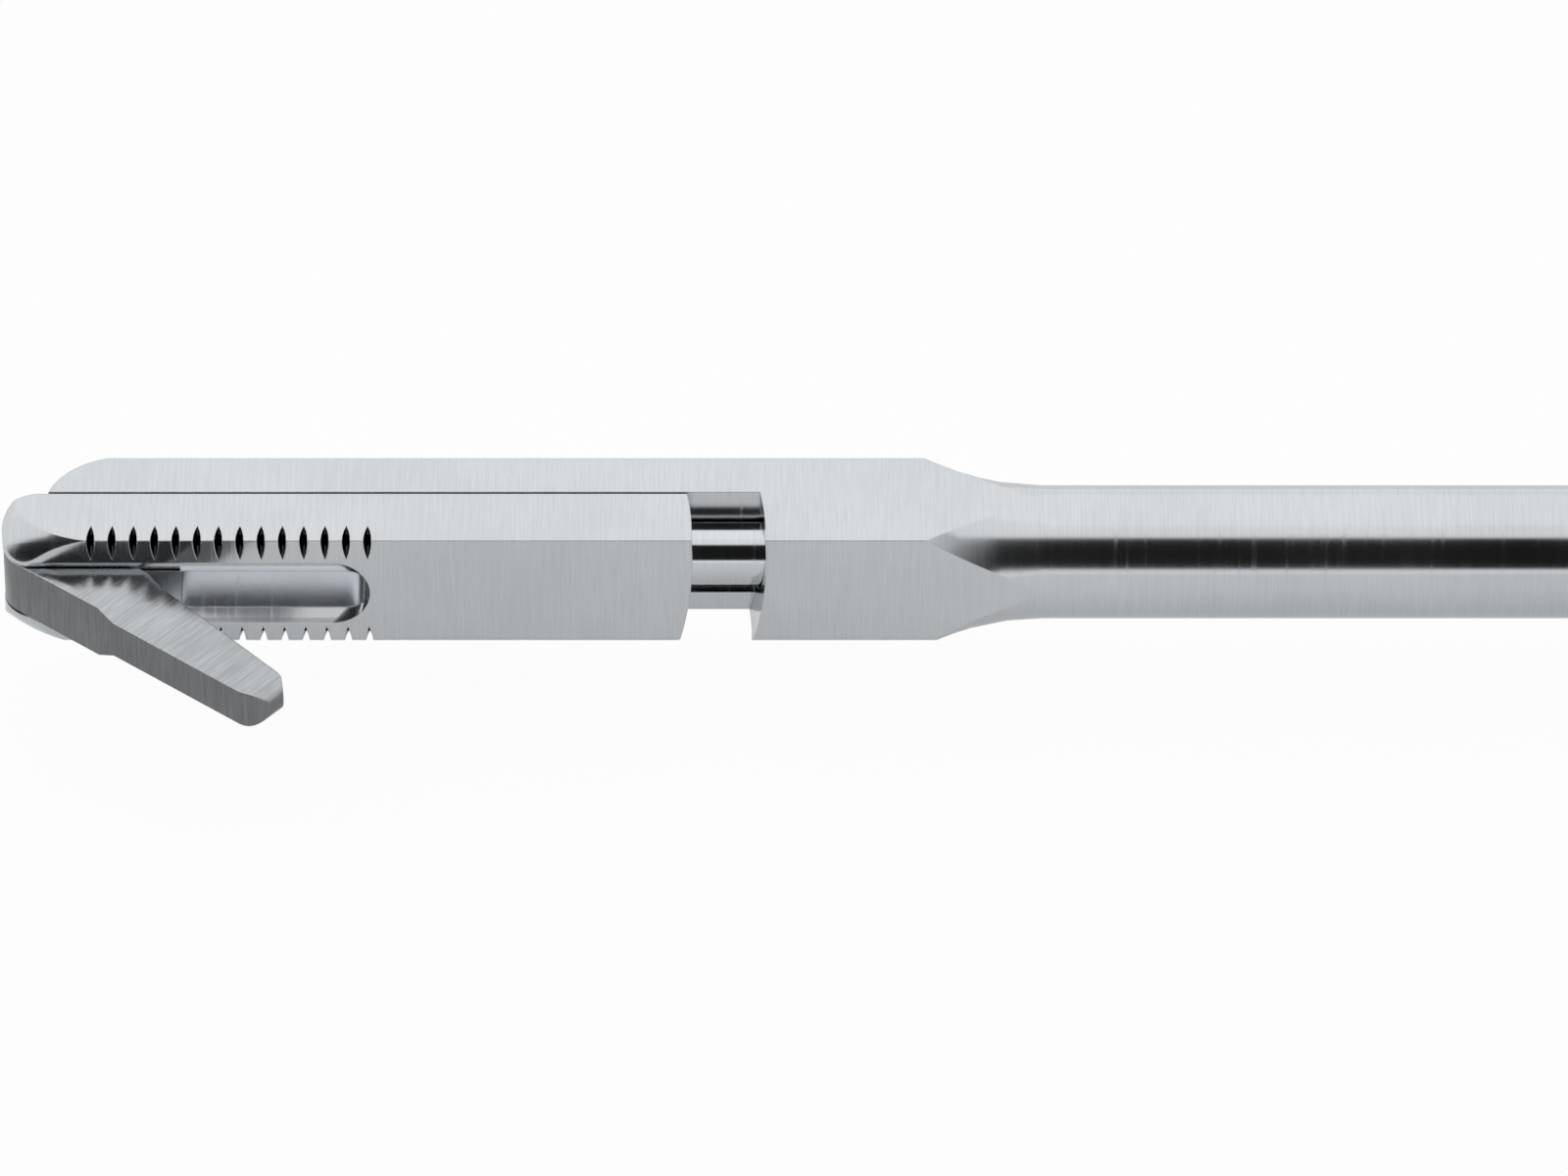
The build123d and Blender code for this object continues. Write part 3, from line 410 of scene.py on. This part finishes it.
def threaded_screw(name, node):
    """A grub screw along X with a thread, a slot at its front end and a rounded tip."""
    low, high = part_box(node)
    centre = (low + high) / 2
    radius = (high.z - low.z) / 2
    length = high.x - low.x
    root = radius - THREAD_DEPTH
    turns = int((length - 2 * THREAD_PITCH) / THREAD_PITCH)
    profile = [(0, 0), (0, root)]
    for turn in range(turns):
        start = turn + 0.5
        profile.append(((start + CREST_START) * THREAD_PITCH, radius))
        profile.append(((start + CREST_END) * THREAD_PITCH, radius))
        profile.append(((start + 1) * THREAD_PITCH, root))
    profile.append((length - TIP_START * THREAD_PITCH, root))
    profile.append((length - TIP_ROUND * THREAD_PITCH, TIP_WIDTH * root))
    profile.append((length, 0))
    screw = turned_piece(name, profile, Vector((low.x, centre.y, centre.z)))
    slot_size = (2 * SCREW_SLOT_DEPTH, SCREW_SLOT_WIDTH, 4 * radius)
    cut_with(screw, block(slot_size, (low.x, centre.y, centre.z)))
    take_up(screw)
    bpy.ops.object.shade_smooth_by_angle(angle=math.radians(30))
    return screw


def hexagon_nut(name, node, bore):
    """A nut along X, with its corners turned off and its bore countersunk at both faces."""
    low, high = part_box(node)
    centre = (low + high) / 2
    length = high.x - low.x
    corner = max(high.y - low.y, high.z - low.z) / 2
    flats = min(high.y - low.y, high.z - low.z) / 2
    start = Vector((low.x, centre.y, centre.z))
    turn = 0 if high.z - low.z > high.y - low.y else math.radians(30)
    bpy.ops.object.select_all(action="DESELECT")
    bpy.ops.mesh.primitive_cylinder_add(
        vertices=6, radius=corner, depth=length, location=centre, rotation=(turn, math.radians(90), 0)
    )
    nut = settle(bpy.context.active_object)
    nut.name = name
    rim = flats - RIM_INSET * NUT_CHAMFER
    shoulder = CORNER_REACH * NUT_CHAMFER
    barrel = [(0, 0), (0, rim), (shoulder, corner), (length - shoulder, corner), (length, rim), (length, 0)]
    cut_with(nut, turned_piece("barrel", barrel, start), "INTERSECT")
    sink = COUNTERSINK * NUT_CHAMFER
    mouth = bore + sink
    hole = [(-length, 0), (-length, mouth), (0, mouth), (sink, bore)]
    hole += [(length - sink, bore), (length, mouth), (2 * length, mouth), (2 * length, 0)]
    cut_with(nut, turned_piece("hole", hole, start))
    return soften(nut, NUT_EDGE_ROUND, angle=25, shading=25)


stop_screw = threaded_screw("threaded_stop_screw", "stop_screw")
finish_piece(stop_screw, "handle", "polished", "stop_screw")
screw_low, screw_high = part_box("stop_screw")
screw_radius = (screw_high.z - screw_low.z) / 2
stop_nut = hexagon_nut("chamfered_stop_nut", "stop_nut", screw_radius - THREAD_DEPTH)
finish_piece(stop_nut, "handle", "polished", "stop_nut")
rod_low, rod_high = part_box("pull_rod")
rod_nut = hexagon_nut("chamfered_rod_nut", "rod_lock_nut", (rod_high.z - rod_low.z) / 2)
finish_piece(rod_nut, "slider", "polished", "rod_lock_nut")

# Blade, with its edges rubbed round in use

rubbed_blade = merged_copy("rubbed_blade", "cutting_blade")
soften(rubbed_blade, BLADE_ROUND, angle=28, shading=40, segments=3)
finish_piece(rubbed_blade, "blade", "blade", "cutting_blade")

# Bow spring: the strip is cut into short lengths along it


def spring_leaf(name, node):
    """The bow spring with rounded edges and stations cut along it."""
    leaf = merged_copy(name, node)
    low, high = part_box(node)
    stations = int((high.y - low.y) / LEAF_STATION)
    bpy.ops.object.mode_set(mode="EDIT")
    for station in range(1, stations):
        bpy.ops.mesh.select_all(action="SELECT")
        bpy.ops.mesh.bisect(
            plane_co=(low.x, low.y + station * LEAF_STATION, 0), plane_no=(0, 1, 0), use_fill=False
        )
    bpy.ops.object.mode_set(mode="OBJECT")
    return soften(leaf, EDGE_ROUND, angle=50, shading=50)


leaf = finish_piece(spring_leaf("spring_leaf", "bow_spring"), None, "spring", "bow_spring")
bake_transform(leaf)

# Floor, surroundings and light

FLOOR_SIZE = 30.0
FLOOR_COLOUR = (0.86, 0.86, 0.86, 1)
WHITE = (1, 1, 1, 1)

# How much of the sheet glows to the camera and in a reflection, in place of its own shaded white
SEEN_WHITE = 0.95
MIRRORED_WHITE = 0.30

# The dark panel: the heights of its soft edges and the turns of its soft ends, seen from the object.
# A turn of 0 is the camera's side and minus is the jaw's side. The far end is softest, because a view
# from behind shows it in the flat top faces.
SKY = 1.0
PANEL_LEVEL = 0.012
PANEL_LOW = (math.radians(5.5), math.radians(10.5))
PANEL_HIGH = (math.radians(59.5), math.radians(64.5))
PANEL_START = (math.radians(-86), math.radians(-72))
PANEL_END = (math.radians(16), math.radians(88))

# The lamp, high behind the jaw and to its left, in metres and watts
LAMP_PLACE = (-0.25, 0.35, 0.75)
LAMP_SIZE = 1.20
LAMP_POWER = 0.40


def paper_floor():
    """A white sheet that keeps the object's shadow and reads as white from the camera and in the metal."""
    bpy.ops.object.select_all(action="DESELECT")
    bpy.ops.mesh.primitive_plane_add(size=FLOOR_SIZE, location=(0, 0, cad_low.z))
    floor = bpy.context.active_object
    floor.name = "floor"
    material = bpy.data.materials.new("paper")
    maker = Maker(material)
    seen = maker.node("ShaderNodeLightPath", output="Is Camera Ray")
    mirrored = maker.node("ShaderNodeLightPath", output="Is Glossy Ray")
    through = maker.node("ShaderNodeLightPath", output="Is Transmission Ray")
    glow = SEEN_WHITE * (seen + through) + MIRRORED_WHITE * mirrored
    share = maker.maths("MINIMUM", glow, SEEN_WHITE)
    sheet = maker.node("ShaderNodeBsdfDiffuse", None, {"Color": FLOOR_COLOUR})
    white = maker.node("ShaderNodeEmission", None, {"Color": WHITE, "Strength": 1.0})
    both = maker.node("ShaderNodeMixShader", None, {0: share, 1: sheet, 2: white})
    maker.node("ShaderNodeOutputMaterial", None, {"Surface": both})
    floor.data.materials.append(material)


def surroundings():
    """A white room with one dark panel behind the camera, which the round shaft shows as a dark line."""
    world = bpy.data.worlds.new("room")
    bpy.context.scene.world = world
    maker = Maker(world)
    direction = maker.node("ShaderNodeTexCoord", output="Generated")
    right, back, up = maker.axes(direction)
    front = back * -1
    height = maker.maths("ARCTAN2", up, front)
    above = maker.between(height, *PANEL_LOW)
    below = 1 - maker.between(height, *PANEL_HIGH)
    aside = maker.maths("ARCTAN2", right, front)
    after = maker.between(aside, *PANEL_START)
    before = 1 - maker.between(aside, *PANEL_END)
    level = SKY - (SKY - PANEL_LEVEL) * above * below * after * before
    background = maker.node("ShaderNodeBackground", None, {"Color": WHITE, "Strength": level})
    maker.node("ShaderNodeOutputWorld", None, {"Surface": background})


def soft_box(name, place, size, power):
    """A square lamp that faces the jaw."""
    lamp = bpy.data.lights.new(name, "AREA")
    lamp.shape = "SQUARE"
    lamp.size = size
    lamp.energy = power
    holder = bpy.data.objects.new(name, lamp)
    bpy.context.scene.collection.objects.link(holder)
    holder.location = place
    holder.rotation_euler = (VIEW_TARGET - Vector(place)).to_track_quat("-Z", "Y").to_euler()


def camera():
    """The photograph's camera, with a long lens."""
    data = bpy.data.cameras.new("camera")
    data.sensor_width = SENSOR_WIDTH
    data.lens = SENSOR_WIDTH * VIEW_DISTANCE / VIEW_WIDTH
    data.clip_start = CLIP_START
    holder = bpy.data.objects.new("camera", data)
    bpy.context.scene.collection.objects.link(holder)
    back = Vector((0, -math.cos(VIEW_ELEVATION), math.sin(VIEW_ELEVATION)))
    holder.location = VIEW_TARGET + VIEW_DISTANCE * back
    holder.rotation_euler = (-back).to_track_quat("-Z", "Y").to_euler()
    bpy.context.scene.camera = holder


paper_floor()
surroundings()
soft_box("key_lamp", LAMP_PLACE, LAMP_SIZE, LAMP_POWER)
camera()
bpy.context.scene.view_settings.view_transform = "Standard"
